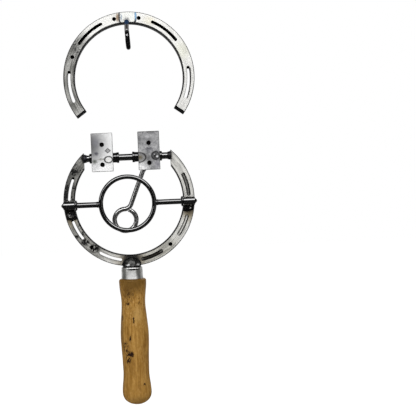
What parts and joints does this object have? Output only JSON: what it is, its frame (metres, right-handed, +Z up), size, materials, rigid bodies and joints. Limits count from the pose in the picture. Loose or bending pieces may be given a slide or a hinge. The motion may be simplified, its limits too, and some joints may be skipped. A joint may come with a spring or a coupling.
{
  "type": "wall-mounted wine opener",
  "caption": "Wall lever wine opener: a horseshoe-shaped swinging lever with a swivelling bottle ring and wooden handle, a hanger with a hook, and a loose corkscrew with an eye.",
  "frame": {"origin": "on the wall face, midway between the four screw holes of the two wall plates", "axes": "+X to the right seen from the wall side, +Y out of the wall into the room, +Z up"},
  "size_m": [0.1379, 0.0484, 0.3919],
  "materials": {
    "plate_steel": "patchy bright flat bar with weld marks burnt through",
    "black_rod": "gloss black rod and tube",
    "weld_steel": "dark lumpy weld",
    "hanger_steel": "pale brushed steel, dark edges, grey left branch",
    "hook_steel": "dark glossy rod, blued at the weld",
    "lever_steel": "brushed along the arc, black pits on the left branch, heat tint at the welds",
    "tang_steel": "dark ground steel",
    "ferrule_steel": "polished tube",
    "handle_wood": "oiled golden-brown wood with a dark knot",
    "corkscrew_steel": "satin grey wire"
  },
  "bodies": {
    "wall_mount": {"left_wall_plate": "plate_steel", "right_wall_plate": "plate_steel", "left_hinge_sleeve": "black_rod", "right_hinge_sleeve": "black_rod", "left_sleeve_weld": "weld_steel", "right_sleeve_weld": "weld_steel", "hanger_shoe": "hanger_steel", "hanger_hook": "hook_steel", "hook_weld": "weld_steel"},
    "lever": {"lever_shoe": "lever_steel", "axle": "black_rod", "axle_welds": "weld_steel", "left_bar_sleeve": "black_rod", "right_bar_sleeve": "black_rod", "left_bar_sleeve_weld": "weld_steel", "right_bar_sleeve_weld": "weld_steel", "handle_tang": "tang_steel", "tang_weld": "weld_steel", "ferrule": "ferrule_steel", "wooden_handle": "handle_wood"},
    "ring": {"bottle_ring": "black_rod", "left_pivot_bar": "black_rod", "right_pivot_bar": "black_rod", "ring_welds": "weld_steel", "stop_collars": "black_rod"},
    "loose_corkscrew": {"corkscrew": "corkscrew_steel"}
  },
  "joints": [
    {"name": "lever_swing", "type": "hinge", "parent": "wall_mount", "child": "lever", "pos_m": [0.0015, 0.0101, -0.0027], "axis": [1, 0, 0], "range_deg": [0, 135]},
    {"name": "ring_swivel", "type": "hinge", "parent": "lever", "child": "ring", "pos_m": [0.0015, 0.0068, -0.04917], "axis": [1, 0, 0], "continuous": true},
    {"name": "corkscrew_lift", "type": "slide", "parent": "lever", "child": "loose_corkscrew", "axis": [0, 1, 0], "range_m": [0, 0.08]}
  ]
}
